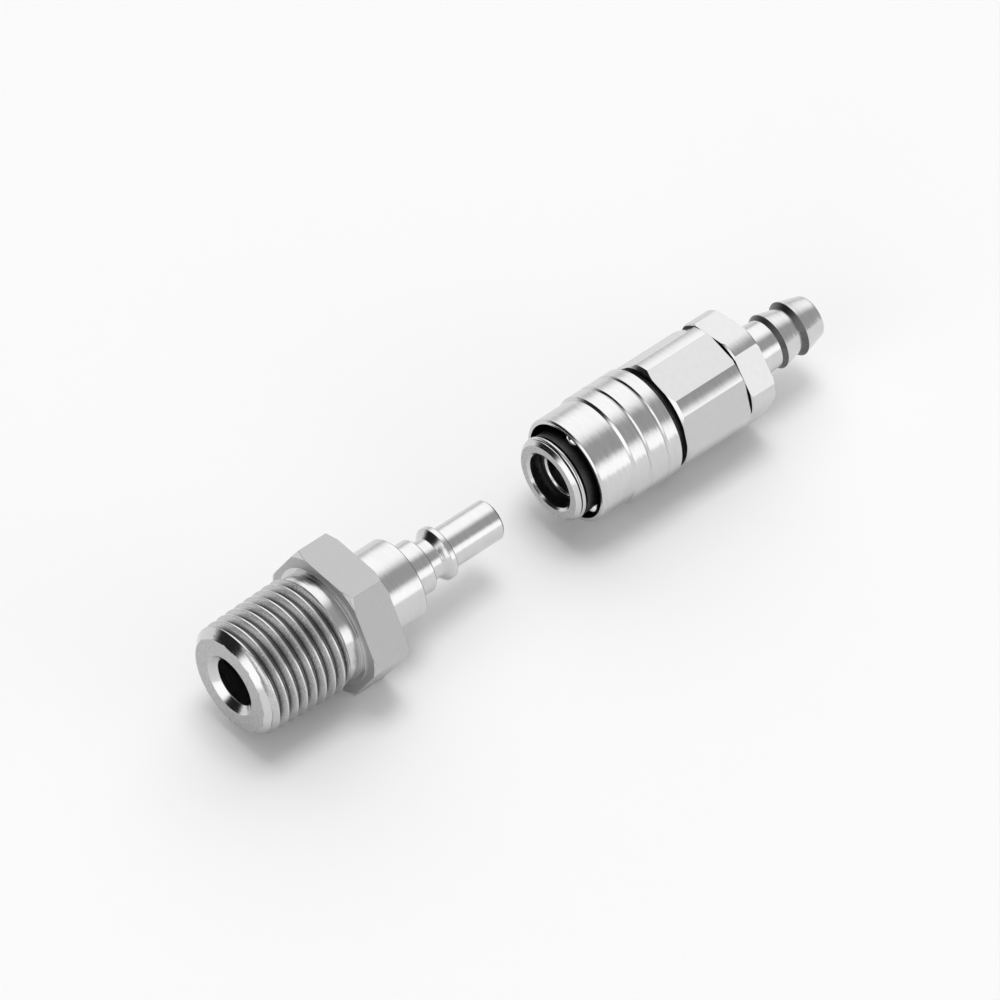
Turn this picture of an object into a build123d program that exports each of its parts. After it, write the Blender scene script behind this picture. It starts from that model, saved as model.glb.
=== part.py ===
from build123d import *
import math
import os

# Pneumatic quick coupling, shown uncoupled: a threaded plug in line with its ball-lock socket.
# Lengths are millimetres. The shared axis is X, from the plug to the hose end, and Z is up.
# The origin is the root of the hose tail: the centre of the adapter hexagon's rear face.

# Plug, from its threaded end to its nose
thread_pitch = 0.907
thread_end_r = 4.739
thread_depth = 0.58
thread_taper = 1 / 32
thread_len = 8.24
thread_lead_r = 4.05
thread_crest_w = 0.12
thread_root_w = 0.12
thread_over_r = 0.12
thread_over_w = 0.027
thread_start_turn = 110
plug_bore_r = 2.05
plug_sink_r = 2.62
relief_r = 4.68
relief_len = 1.06
boss_r = 5.12
boss_len = 0.12
plug_hex_af = 11.25
plug_hex_len = 3.33
hex_edge = 0.28
shank_r = 3.50
shank_len = 4.15
stem_r = 2.27
stem_len = 2.07
neck_r = 1.71
neck_len = 1.13
land_len = 0.51
nose_r = 1.74
nose_len = 5.17
nose_bore_r = 1.10
nose_bore_len = 13.4
nose_edge = 0.15
plug_gap = 5.93

# Socket body, from its mouth to its rear
mouth_r = 2.40
guide_r = 2.65
body_nose_r = 3.55
body_step_rise = 0.51
barrel_rise = 0.67
body_hex_af = 8.80
body_hex_roll = 13.8
barrel_len = 6.33
barrel_edge = 0.40
rear_edge = 0.12
body_nose_len = 10.67
mouth_edge = 0.24
chamber_r = 3.05
chamber_len = 3.50
adapter_thread_r = 3.40
fine_gap = 0.02

# Balls, the wire stop ring and the collar that holds the balls out
ball_r = 0.75
ball_gap = 0.012
ball_keep = 0.010
ball_count = 3
ball_turn = 4.8
mouth_to_balls = 2.50
ring_wire_r = 0.20
ring_out = 0.10
ring_from_mouth = 0.66
ring_groove_w = 0.62
ring_split = 24
collar_depth = 1.30
collar_bore_r = 1.80
collar_len = 3.40
collar_head_len = 2.30
collar_tail_r = 2.15
collar_gap = 0.03
collar_edge = 0.14
touch_gap = 0.02
ball_past_land = 1.12

# Sleeve and its spring
sleeve_from_mouth = 1.76
sleeve_barrel_gap = 0.83
sleeve_travel = 2.40
sleeve_wall = 0.62
sleeve_nose_drop = 0.205
sleeve_nose_len = 3.20
sleeve_rim_gap = 0.0033
sleeve_land_gap = 0.11
sleeve_land_len = 0.50
sleeve_skirt_gap = 0.08
sleeve_edge = 0.15
sleeve_groove_r = 0.17
sleeve_groove_1 = 4.83
sleeve_groove_2 = 6.66
sleeve_spring_room = 1.804
sleeve_wire_gap = 0.115
sleeve_turns = 3.2

# Seals, valve and their springs, behind the collar
tip_past_packing = 0.05
packing_len = 0.90
packing_r = 1.77
packing_wire_gap = 0.01
washer_len = 0.25
washer_r = 1.85
collar_wire_r = 0.18
collar_turns = 3.6
seat_spigot_len = 0.59
seat_recess_len = 0.26
seat_recess_r = 1.86
seat_hole_r = 1.45
seat_flange_len = 0.50
valve_lift = 1.00
valve_push_r = 1.36
valve_hollow_r = 0.95
valve_slot_w = 0.70
valve_head_r = 2.35
valve_head_len = 0.80
valve_stem_r = 0.95
valve_stem_len = 1.00
valve_seal_len = 0.40
valve_seal_r = 2.10
valve_seal_depth = 0.20
valve_wire_r = 0.16
valve_turns = 3.2
valve_spring_gap = 0.15

# Hose adapter
adapter_hex_af = 8.75
adapter_hex_roll = -8.2
adapter_hex_len = 2.60
adapter_bore_r = 1.25
gasket_len = 0.30
tail_root_r = 2.25
tail_waist_r = 2.11
tail_waist_len = 3.00
barb_r = 2.39
barb_rise = 0.40
barb_len = 2.16
barb_low_r = 2.00
tail_end_len = 2.17
tail_end_r = 1.80
tail_round = 0.25

# Radii that the socket's shells take from its nose
body_step_r = body_nose_r + body_step_rise
barrel_turned_r = body_step_r + barrel_rise
sleeve_skirt_r = body_step_r + sleeve_skirt_gap
sleeve_r = sleeve_skirt_r + sleeve_wall
sleeve_nose_r = sleeve_r - sleeve_nose_drop
sleeve_land_r = body_nose_r + sleeve_land_gap
sleeve_wire_r = (sleeve_skirt_r - body_nose_r) / 2 - sleeve_wire_gap

# Stations along the axis, from the origin forwards
body_rear = -adapter_hex_len
barrel_front = body_rear - barrel_len
mouth = barrel_front - body_nose_len
ball_x = mouth + mouth_to_balls
collar_front = mouth + collar_depth
sleeve_front = mouth + sleeve_from_mouth
sleeve_rear = barrel_front - sleeve_barrel_gap

# Locking geometry: everything moves in step with the plug's last push
ball_hole_r = ball_r + ball_gap
ball_out_r = guide_r - fine_gap + ball_r
ball_in_r = guide_r + math.sqrt(ball_hole_r**2 - (ball_r - ball_keep) ** 2)
ball_travel = ball_out_r - ball_in_r
land_cone = stem_r - neck_r
collar_travel = ball_x - collar_front + land_len + ball_past_land + touch_gap
ball_per_collar = ball_travel / collar_travel
ball_per_sleeve = ball_travel / sleeve_travel
collar_od = guide_r - collar_gap
collar_under_ball = ball_out_r - ball_hole_r * math.hypot(1, ball_per_collar)
sleeve_over_ball = ball_out_r + ball_hole_r * math.hypot(1, ball_per_sleeve)
sleeve_rim_r = sleeve_over_ball + sleeve_rim_gap
approach = plug_gap + nose_len + collar_depth - touch_gap
tip_locked = mouth - plug_gap + approach + collar_travel

# Stations that follow from the locked balls and the locked plug
sleeve_land_front = ball_x + (sleeve_over_ball - sleeve_land_r) / ball_per_sleeve
sleeve_land_rear = sleeve_land_front + sleeve_land_len
step_front = sleeve_land_rear + sleeve_spring_room
seat_front = tip_locked - tip_past_packing
packing_front = seat_front - packing_len
chamber_front = seat_front + seat_spigot_len
gasket_front = chamber_front + chamber_len
spigot_front = gasket_front + gasket_len
seal_front = chamber_front + seat_flange_len + fine_gap
head_front = seal_front + valve_seal_len - valve_seal_depth
head_rear = head_front + valve_head_len


def turned(points):
    """A ring or rod: the closed outline of (x, radius) points, turned about the axis."""
    return revolve(make_face(Polyline(*points, close=True)), Axis.X)


def six_flats(width, roll, x_from, length):
    """A hexagonal bar along the axis, used to cut flats on a turned shape."""
    outline = Plane.YZ * RegularPolygon(width / 2, 6, major_radius=False, rotation=roll)
    return Pos(x_from, 0, 0) * extrude(outline, length)


def coil(x_from, x_to, mean_r, wire_r, turns):
    """A round-wire compression spring that fills the space between two faces."""
    length = x_to - x_from - 2 * wire_r - 2 * fine_gap
    path = Helix(pitch=length / turns, height=length, radius=mean_r)
    start = Plane(origin=path @ 0, x_dir=(1, 0, 0), z_dir=path % 0)
    wire = sweep(start * Circle(wire_r), path=path, is_frenet=True)
    return Pos(x_from + wire_r + fine_gap, 0, 0) * Rot(0, 90, 0) * wire


def round_ring(x, mean_r, wire_r):
    """A ring of round section, centred on the axis at x."""
    return revolve(Pos(x, mean_r, 0) * Circle(wire_r), Axis.X)


def thread_cutter():
    """The groove of the taper thread about +Z from the origin: a V section on a conical helix."""
    lead = thread_pitch
    path = Helix(
        pitch=thread_pitch,
        height=thread_len + lead,
        radius=thread_end_r - lead * thread_taper,
        cone_angle=math.degrees(math.atan(thread_taper)),
    )
    point = path @ 0
    outward = Vector(point.X, point.Y, 0).normalized()
    top_half = (thread_pitch - thread_crest_w) / 2 + thread_over_w
    section = Polyline(
        (-thread_depth, -thread_root_w / 2),
        (-thread_depth, thread_root_w / 2),
        (thread_over_r, top_half),
        (thread_over_r, -top_half),
        close=True,
    )
    plane = Plane(origin=point, x_dir=outward, z_dir=path % 0)
    groove = sweep(plane * make_face(section), path=path, is_frenet=True)
    return Pos(0, 0, -lead) * Rot(0, 0, thread_start_turn) * groove


def make_plug():
    tip = mouth - plug_gap
    land_front = tip - nose_len
    land_back = land_front - land_len
    cone_back = land_back - land_cone
    stem_front = cone_back - neck_len
    shank_front = stem_front - stem_len
    hex_back = shank_front - shank_len
    hex_front = hex_back - plug_hex_len
    boss_front = hex_front - boss_len
    relief_front = boss_front - relief_len
    face = relief_front - thread_len
    corner_r = plug_hex_af / math.sqrt(3)
    lead = thread_end_r - thread_lead_r
    sink = plug_sink_r - plug_bore_r
    bore_cone = plug_bore_r - nose_bore_r
    bore_back = tip - nose_bore_len
    blank = turned(
        [
            (face, plug_sink_r),
            (face, thread_lead_r),
            (face + lead, thread_end_r + lead * thread_taper),
            (relief_front, thread_end_r + thread_len * thread_taper),
            (relief_front + 0.5 * (thread_end_r - relief_r) + 0.1, relief_r),
            (boss_front, relief_r),
            (boss_front, boss_r),
            (hex_front, boss_r),
            (hex_front, corner_r - 1.8 * hex_edge),
            (hex_front + hex_edge, corner_r),
            (hex_back - hex_edge, corner_r),
            (hex_back, corner_r - 1.8 * hex_edge),
            (hex_back, shank_r),
            (shank_front - 0.5 * nose_edge, shank_r),
            (shank_front, shank_r - 0.5 * nose_edge),
            (shank_front, stem_r),
            (stem_front, stem_r),
            (stem_front, neck_r),
            (cone_back, neck_r),
            (land_back, stem_r),
            (land_front, stem_r),
            (land_front, nose_r),
            (tip - nose_edge, nose_r),
            (tip, nose_r - nose_edge),
            (tip, nose_bore_r),
            (bore_back, nose_bore_r),
            (bore_back - bore_cone, plug_bore_r),
            (face + sink, plug_bore_r),
        ]
    )
    bar = turned([(face, 0), (face, corner_r + 1), (boss_front, corner_r + 1), (boss_front, 0)])
    flats = six_flats(plug_hex_af, 0, boss_front, tip - boss_front)
    upright = Rot(0, -90, 0) * Pos(-face, 0, 0)
    threaded = upright * (blank & (bar + flats)) - thread_cutter()
    return Pos(face, 0, 0) * Rot(0, 90, 0) * threaded


def make_body():
    groove_mid = mouth + ring_from_mouth
    groove_r = body_nose_r + ring_out - 2 * ring_wire_r - fine_gap
    seat_gap = collar_gap * math.hypot(1, ball_per_collar)
    seat_from = ball_x - (collar_under_ball + seat_gap - mouth_r) / ball_per_collar
    seat_to = ball_x + (guide_r - collar_under_ball - seat_gap) / ball_per_collar
    lip = 0.08
    shape = turned(
        [
            (mouth, mouth_r + lip),
            (mouth, body_nose_r - mouth_edge),
            (mouth + mouth_edge, body_nose_r),
            (groove_mid - ring_groove_w / 2, body_nose_r),
            (groove_mid - ring_groove_w / 2, groove_r),
            (groove_mid + ring_groove_w / 2, groove_r),
            (groove_mid + ring_groove_w / 2, body_nose_r),
            (step_front, body_nose_r),
            (step_front, body_step_r),
            (barrel_front, body_step_r),
            (barrel_front, barrel_turned_r - barrel_edge),
            (barrel_front + barrel_edge, barrel_turned_r),
            (body_rear - rear_edge, barrel_turned_r),
            (body_rear, barrel_turned_r - rear_edge),
            (body_rear, adapter_thread_r + fine_gap),
            (gasket_front, adapter_thread_r + fine_gap),
            (gasket_front, chamber_r),
            (chamber_front, chamber_r),
            (chamber_front, guide_r),
            (seat_to, guide_r),
            (seat_from, mouth_r),
            (mouth + lip, mouth_r),
        ]
    )
    shape &= six_flats(body_hex_af, body_hex_roll, mouth, body_rear - mouth)
    drilled = body_nose_r
    for place in ball_places():
        bore = Pos(0, 0, drilled / 2) * Cylinder(ball_hole_r, drilled)
        shape -= place * Pos(0, 0, ball_in_r) * (Sphere(ball_hole_r) + bore)
    return shape


def ball_places():
    """The radial directions of the ball holes, in the plane of the balls."""
    return [Pos(ball_x, 0, 0) * Rot(ball_turn + 360 / ball_count * i, 0, 0) for i in range(ball_count)]


def make_stop_ring():
    ring = round_ring(mouth + ring_from_mouth, body_nose_r + ring_out - ring_wire_r, ring_wire_r)
    wedge = Pos(mouth + ring_from_mouth, 0, 0) * Rot(90, 0, 0) * Pos(0, 0, body_nose_r)
    width = 2 * body_nose_r * math.sin(math.radians(ring_split / 2))
    return ring - wedge * Box(4 * ring_wire_r, width, 8 * ring_wire_r)


def make_collar():
    cone_to = ball_x + (collar_od - collar_under_ball) / ball_per_collar
    front_r = collar_under_ball - ball_per_collar * (ball_x - collar_front)
    shoulder = collar_front + collar_head_len
    rear = collar_front + collar_len
    return turned(
        [
            (collar_front, collar_bore_r + collar_edge),
            (collar_front, front_r - collar_edge / 2),
            (collar_front + collar_edge / 2, front_r + ball_per_collar * collar_edge / 2),
            (cone_to, collar_od),
            (shoulder, collar_od),
            (shoulder, collar_tail_r),
            (rear, collar_tail_r),
            (rear, collar_bore_r),
            (collar_front + collar_edge, collar_bore_r),
        ]
    )


def make_sleeve():
    cone_from = ball_x + (sleeve_over_ball - sleeve_rim_r) / ball_per_sleeve
    nose_to = sleeve_front + sleeve_nose_len
    rise = sleeve_r - sleeve_nose_r
    shape = turned(
        [
            (sleeve_front, sleeve_rim_r),
            (sleeve_front, sleeve_nose_r - sleeve_edge),
            (sleeve_front + sleeve_edge, sleeve_nose_r),
            (nose_to, sleeve_nose_r),
            (nose_to + rise, sleeve_r),
            (sleeve_rear - sleeve_edge, sleeve_r),
            (sleeve_rear, sleeve_r - sleeve_edge),
            (sleeve_rear, sleeve_skirt_r),
            (sleeve_land_rear, sleeve_skirt_r),
            (sleeve_land_rear, sleeve_land_r),
            (sleeve_land_front, sleeve_land_r),
            (cone_from, sleeve_rim_r),
        ]
    )
    for station in (sleeve_groove_1, sleeve_groove_2):
        shape -= round_ring(sleeve_front + station, sleeve_r + 0.2 * sleeve_groove_r, sleeve_groove_r)
    return shape


def make_sleeve_spring():
    middle_r = (body_nose_r + sleeve_skirt_r) / 2
    return coil(sleeve_land_rear, step_front, middle_r, sleeve_wire_r, sleeve_turns)


def make_collar_spring():
    rear = collar_front + collar_head_len
    middle_r = (collar_tail_r + guide_r) / 2
    return coil(rear, packing_front - washer_len, middle_r, collar_wire_r, collar_turns)


def make_packing_washer():
    front = packing_front - washer_len
    outer = guide_r - fine_gap
    return turned(
        [(front, washer_r), (front, outer), (packing_front, outer), (packing_front, washer_r)]
    )


def make_packing():
    outer = guide_r - fine_gap
    lip_mid = (packing_front + seat_front) / 2
    lip_half = packing_len / 4
    root_r = (packing_r + outer) / 2
    return turned(
        [
            (packing_front, root_r),
            (packing_front, outer),
            (seat_front, outer),
            (seat_front, root_r),
            (lip_mid + lip_half, packing_r),
            (lip_mid - lip_half, packing_r),
        ]
    )


def make_valve_seat():
    recess = seat_front + seat_recess_len
    flange_rear = chamber_front + seat_flange_len
    return turned(
        [
            (seat_front, seat_recess_r),
            (seat_front, guide_r - fine_gap),
            (chamber_front, guide_r - fine_gap),
            (chamber_front, chamber_r - fine_gap),
            (flange_rear, chamber_r - fine_gap),
            (flange_rear, seat_hole_r),
            (recess, seat_hole_r),
            (recess, seat_recess_r),
        ]
    )


def make_valve():
    push_front = tip_locked - valve_lift + touch_gap
    seal_seat = head_front + valve_seal_depth
    stem_end = head_rear + valve_stem_len
    edge = 0.1
    shape = turned(
        [
            (push_front, valve_hollow_r),
            (push_front, valve_push_r),
            (seal_seat, valve_push_r),
            (seal_seat, valve_seal_r + fine_gap),
            (head_front, valve_seal_r + fine_gap),
            (head_front, valve_head_r),
            (head_rear - edge, valve_head_r),
            (head_rear, valve_head_r - edge),
            (head_rear, valve_stem_r),
            (stem_end - edge, valve_stem_r),
            (stem_end, valve_stem_r - edge),
            (stem_end, 0),
            (seal_seat, 0),
            (seal_seat, valve_hollow_r),
        ]
    )
    slot_len = head_front - push_front
    slot = Pos(push_front + slot_len / 2 - edge, 0, 0) * Box(slot_len, valve_slot_w, 2.2 * valve_push_r)
    return shape - slot - Rot(90, 0, 0) * slot


def make_valve_seal():
    rear = seal_front + valve_seal_len
    inner = valve_push_r + fine_gap
    return turned([(seal_front, inner), (seal_front, valve_seal_r), (rear, valve_seal_r), (rear, inner)])


def make_valve_spring():
    middle_r = valve_stem_r + valve_spring_gap + valve_wire_r
    return coil(head_rear, spigot_front, middle_r, valve_wire_r, valve_turns)


def make_gasket():
    front = gasket_front + fine_gap / 2
    rear = spigot_front - fine_gap / 2
    inner = chamber_r
    return turned([(front, inner), (front, adapter_thread_r), (rear, adapter_thread_r), (rear, inner)])


def make_hose_adapter():
    barb_1 = tail_waist_len
    barb_2 = barb_1 + barb_len
    end = barb_2 + barb_rise + tail_end_len
    blank = turned(
        [
            (spigot_front, adapter_bore_r),
            (spigot_front, adapter_thread_r - rear_edge),
            (spigot_front + rear_edge, adapter_thread_r),
            (body_rear + fine_gap, adapter_thread_r),
            (body_rear + fine_gap, barrel_turned_r - rear_edge),
            (body_rear + rear_edge + fine_gap, barrel_turned_r),
            (-rear_edge, barrel_turned_r),
            (0, barrel_turned_r - rear_edge),
            (0, tail_root_r),
            (barb_1, tail_waist_r),
            (barb_1 + barb_rise, barb_r),
            (barb_2, barb_low_r),
            (barb_2 + barb_rise, barb_r),
            (end - tail_round, tail_end_r + 0.06),
            (end - 0.3 * tail_round, tail_end_r - 0.3 * tail_round),
            (end, tail_end_r - tail_round),
            (end, adapter_bore_r),
        ]
    )
    flats = six_flats(adapter_hex_af, adapter_hex_roll, spigot_front, end - spigot_front)
    return blank & flats


def build():
    parts = {
        "plug": make_plug(),
        "socket_body": make_body(),
        "stop_ring": make_stop_ring(),
        "sleeve": make_sleeve(),
        "sleeve_spring": make_sleeve_spring(),
        "collar": make_collar(),
        "collar_spring": make_collar_spring(),
        "packing_washer": make_packing_washer(),
        "plug_packing": make_packing(),
        "valve_seat": make_valve_seat(),
        "valve": make_valve(),
        "valve_seal": make_valve_seal(),
        "valve_spring": make_valve_spring(),
        "adapter_gasket": make_gasket(),
        "hose_adapter": make_hose_adapter(),
    }
    for number, place in enumerate(ball_places(), start=1):
        parts[f"ball_{number}"] = place * Pos(0, 0, ball_out_r) * Sphere(ball_r)
    return parts


os.makedirs("parts", exist_ok=True)
for name, part in build().items():
    part.label = name
    export_step(part, f"parts/{name}.step")
print("collar travel", round(collar_travel, 4), "ball travel", round(ball_travel, 4))
print("plug approach", round(approach, 4), "sleeve travel", sleeve_travel)
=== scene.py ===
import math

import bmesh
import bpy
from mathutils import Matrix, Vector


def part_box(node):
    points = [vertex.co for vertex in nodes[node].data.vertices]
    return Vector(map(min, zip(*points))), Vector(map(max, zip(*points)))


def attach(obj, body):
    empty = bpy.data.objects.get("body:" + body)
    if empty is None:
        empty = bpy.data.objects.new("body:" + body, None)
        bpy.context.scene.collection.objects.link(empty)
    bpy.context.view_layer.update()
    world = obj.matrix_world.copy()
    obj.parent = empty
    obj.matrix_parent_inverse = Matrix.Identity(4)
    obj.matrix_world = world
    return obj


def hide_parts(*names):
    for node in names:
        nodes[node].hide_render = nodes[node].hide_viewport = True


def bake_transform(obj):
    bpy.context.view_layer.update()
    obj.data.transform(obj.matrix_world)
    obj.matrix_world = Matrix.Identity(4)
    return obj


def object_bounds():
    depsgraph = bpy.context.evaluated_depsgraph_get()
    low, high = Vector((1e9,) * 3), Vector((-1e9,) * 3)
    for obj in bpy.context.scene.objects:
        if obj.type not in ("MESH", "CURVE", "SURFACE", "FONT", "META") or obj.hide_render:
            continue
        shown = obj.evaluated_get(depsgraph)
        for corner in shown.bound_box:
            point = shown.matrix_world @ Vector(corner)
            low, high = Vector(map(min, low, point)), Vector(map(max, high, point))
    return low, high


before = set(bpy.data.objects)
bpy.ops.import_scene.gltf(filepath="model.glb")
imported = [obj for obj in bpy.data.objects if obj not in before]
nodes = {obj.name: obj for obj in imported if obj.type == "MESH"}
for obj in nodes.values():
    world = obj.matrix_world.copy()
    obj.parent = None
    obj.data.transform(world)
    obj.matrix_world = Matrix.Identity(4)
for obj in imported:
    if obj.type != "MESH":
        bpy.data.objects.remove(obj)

# %% [markdown]
# A pneumatic quick coupling, uncoupled. On the left lies the plug, a single turned piece
# with a taper thread, a hexagon and a stepped nose. On the right is its socket: a body with
# three balls near its mouth, a spring-loaded sleeve around them and a barbed hose tail.
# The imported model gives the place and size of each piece. This lesson dresses the pieces
# that show, so that each chamfer, thread flank and turning mark catches the light.

MM = 0.001
cad_low, cad_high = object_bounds()


def ends(node):
    """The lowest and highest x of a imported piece, in millimetres."""
    low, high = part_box(node)
    return low.x / MM, high.x / MM


PLUG_FACE, PLUG_TIP = ends("plug")
MOUTH, BODY_REAR = ends("socket_body")
SLEEVE_FRONT, SLEEVE_REAR = ends("sleeve")
COLLAR_FRONT, COLLAR_REAR = ends("collar")
RING_FRONT, RING_REAR = ends("stop_ring")
ADAPTER_FRONT, TAIL_END = ends("hose_adapter")
print("plug", PLUG_FACE, PLUG_TIP, "socket", MOUTH, TAIL_END)

# %% [markdown]
# Almost every piece here came off a lathe, so its shape is an outline turned about the axis.
# The outline is drawn once, in millimetres along the axis and outwards from it, and
# bmesh.ops.spin turns it. A full turn with use_merge closes the ring on itself.

# %% Turning an outline
STEPS = 160
AXIS = Vector((1, 0, 0))
# points nearer to each other than this, in metres, become one
WELD = 0.2e-6
WIDE_WELD = 1e-6


def lathe(outline, steps=STEPS, closed=True):
    """A bmesh of the (x, radius) outline, in millimetres, turned once about the X axis."""
    bm = bmesh.new()
    spots = [bm.verts.new((x * MM, 0, r * MM)) for x, r in outline]
    count = len(spots) if closed else len(spots) - 1
    edges = [bm.edges.new((spots[i], spots[(i + 1) % len(spots)])) for i in range(count)]
    bmesh.ops.spin(
        bm,
        geom=spots + edges,
        cent=(0, 0, 0),
        axis=AXIS,
        dvec=(0, 0, 0),
        angle=math.tau,
        steps=steps,
        use_merge=True,
        use_duplicate=False,
    )
    bmesh.ops.remove_doubles(bm, verts=bm.verts[:], dist=WELD)
    if closed:
        bmesh.ops.recalc_face_normals(bm, faces=bm.faces[:])
    return bm


# %% [markdown]
# A hexagon is milled after turning: six flat cuts at the same distance from the axis. Here
# bisect_plane makes each cut, clears what lies outside it, and the open rim is filled. The
# rest of each piece is slimmer than its hexagon, so only the thick part is cut.

# %% Milling six flats
def mill(bm, width, roll, finish=0):
    """Cuts six flats, width millimetres across, the first one turned roll degrees from +Z."""
    for i in range(6):
        turn = math.radians(roll + 60 * i)
        out = Vector((0, -math.sin(turn), math.cos(turn)))
        cut = bmesh.ops.bisect_plane(
            bm,
            geom=bm.verts[:] + bm.edges[:] + bm.faces[:],
            dist=WELD,
            plane_co=out * width / 2 * MM,
            plane_no=out,
            clear_outer=True,
        )
        rim = [e for e in cut["geom_cut"] if isinstance(e, bmesh.types.BMEdge) and e.is_boundary]
        flat = bmesh.ops.holes_fill(bm, edges=rim, sides=0)
        for face in flat["faces"]:
            face.material_index = finish
    bmesh.ops.recalc_face_normals(bm, faces=bm.faces[:])


# %% [markdown]
# A piece can have several finishes: its hexagon is milled, and its bore and other hollows are
# painted near-black as shade. Each face keeps the number of its finish, and the materials are
# given in the same order later.
# The functions mark faces by the way they face or by their distance from the axis. The slack
# keeps a face that lies just on a limit safely on one side of it.

# %% Marking faces for another finish
FAR = 1000.0
SLACK = 0.01
WIDE_SLACK = 0.05


def mark_slopes(bm, low, high, finish, front, rear=FAR):
    """Marks the faces from front to rear whose normals' x lies between low and high."""
    for face in bm.faces:
        x = face.calc_center_median().x / MM
        if front < x < rear and low < face.normal.x < high:
            face.material_index = finish


def mark_front(bm, x, finish):
    """Marks the faces at x that look straight forward."""
    mark_slopes(bm, -1.1, -0.9, finish, front=x - WIDE_SLACK, rear=x + WIDE_SLACK)


def mark_inside(bm, outer_r, finish, front=-FAR, rear=FAR):
    """Marks the faces from front to rear that are nearer to the axis than outer_r."""
    for face in bm.faces:
        spot = face.calc_center_median() / MM
        if math.hypot(spot.y, spot.z) < outer_r and front < spot.x < rear:
            face.material_index = finish


# %% [markdown]
# No machined edge is perfectly sharp. A Bevel modifier rounds each edge of more than 20
# degrees by a few hundredths of a millimetre. That gives a thin bright line along the edge,
# and hardened normals keep the flats flat.

# %% Finishing a piece
ROUNDED_FROM = 20


def finish_piece(bm, name, node, body, edge=0.04, round_edges=True, clamp=True):
    """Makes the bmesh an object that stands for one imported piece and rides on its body."""
    mesh = bpy.data.meshes.new(name)
    bm.to_mesh(mesh)
    bm.free()
    mesh.shade_smooth()
    piece = bpy.data.objects.new(name, mesh)
    bpy.context.scene.collection.objects.link(piece)
    if round_edges:
        bevel = piece.modifiers.new("worn edges", "BEVEL")
        bevel.width = edge * MM
        bevel.segments = 2
        bevel.limit_method = "ANGLE"
        bevel.angle_limit = math.radians(ROUNDED_FROM)
        bevel.harden_normals = True
        bevel.miter_outer = "MITER_ARC"
        bevel.use_clamp_overlap = clamp
    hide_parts(node)
    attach(piece, body)
    print(name, len(mesh.vertices), "corners")
    return piece


# %% [markdown]
# The plug is one piece. Its front is an R 1/8 taper thread, which needs a true helix: the
# section of one thread is spun about the axis while it climbs by one pitch each turn, so the
# end of each turn meets the start of the next. The helix is drawn too wide, and each point is
# then pulled in to the taper, the end chamfer or the relief. The groove deepens slowly behind
# the end chamfer and fades out before the relief.

# %% The thread's sizes
PITCH = 0.907
THREAD_END_R = 4.739
THREAD_DEPTH = 0.58
THREAD_TAPER = 1 / 32
THREAD_LEN = 8.24
LEAD_R = 4.05
CREST = 0.13
ROOT = 0.12
FLANK_PARTS = 6
RUN_IN = 1.20
RUN_OUT = 0.45
RELIEF_R = 4.68
RELIEF_FRONT = PLUG_FACE + THREAD_LEN - 0.42
RELIEF_REAR = RELIEF_FRONT + RUN_OUT
DRAWN_R = 10
THREAD_STEPS = 120
THREAD_TURNS = 12
THREAD_BEFORE = 1.11
THREAD_WELD = 12e-6
CUT_DEPTH = 0.02
CUT_PAST = 0.30
TURNED, DRAWN, CUT, EDGE_SHADE_PAINTED, FACED = range(5)
print("thread from", round(PLUG_FACE, 2), "to", round(RELIEF_REAR, 2))

# %% [markdown]
# One pitch of the groove is a flat crest, a slope down, a narrow root and a slope up. Each
# slope has a few points, so that it can bend where the groove fades or the chamfer cuts it.
# One turn is spun and then duplicated, pitch by pitch, which is quicker than a long spin.

# %% One pitch of the thread, spun into a helix
def thread_section(x):
    """Points of one pitch of the groove from x on, as (x, depth below the crest)."""
    flank = (PITCH - CREST - ROOT) / 2
    spots = [(0, 0.0), (CREST * 0.5, 0.0), (CREST, 0.0)]
    down = range(1, FLANK_PARTS + 1)
    spots += [(CREST + flank * i / FLANK_PARTS, THREAD_DEPTH * i / FLANK_PARTS) for i in down]
    for i in range(FLANK_PARTS):
        along = CREST + flank + ROOT + flank * i / FLANK_PARTS
        spots.append((along, THREAD_DEPTH * (FLANK_PARTS - i) / FLANK_PARTS))
    spots.append((PITCH, 0.0))
    return [(x + along, deep) for along, deep in spots]


def thread_helix():
    """The helix as it is drawn, straight and too wide, long enough for the whole thread."""
    bm = bmesh.new()
    section = thread_section(PLUG_FACE - THREAD_BEFORE)
    spots = [bm.verts.new((x * MM, 0, (DRAWN_R - deep) * MM)) for x, deep in section]
    edges = [bm.edges.new(pair) for pair in zip(spots, spots[1:])]
    bmesh.ops.spin(
        bm,
        geom=spots + edges,
        cent=(0, 0, 0),
        axis=AXIS,
        dvec=(PITCH / THREAD_STEPS * MM, 0, 0),
        angle=math.tau,
        steps=THREAD_STEPS,
        use_merge=False,
        use_duplicate=False,
    )
    one_turn = bm.verts[:] + bm.edges[:] + bm.faces[:]
    for turn in range(1, THREAD_TURNS):
        copy = bmesh.ops.duplicate(bm, geom=one_turn)
        moved = [item for item in copy["geom"] if isinstance(item, bmesh.types.BMVert)]
        bmesh.ops.translate(bm, vec=(turn * PITCH * MM, 0, 0), verts=moved)
    return bm


def full_r(along):
    """The radius of the plug before the groove is cut, along millimetres from its face."""
    return min(THREAD_END_R + along * THREAD_TAPER, LEAD_R + along)


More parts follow.
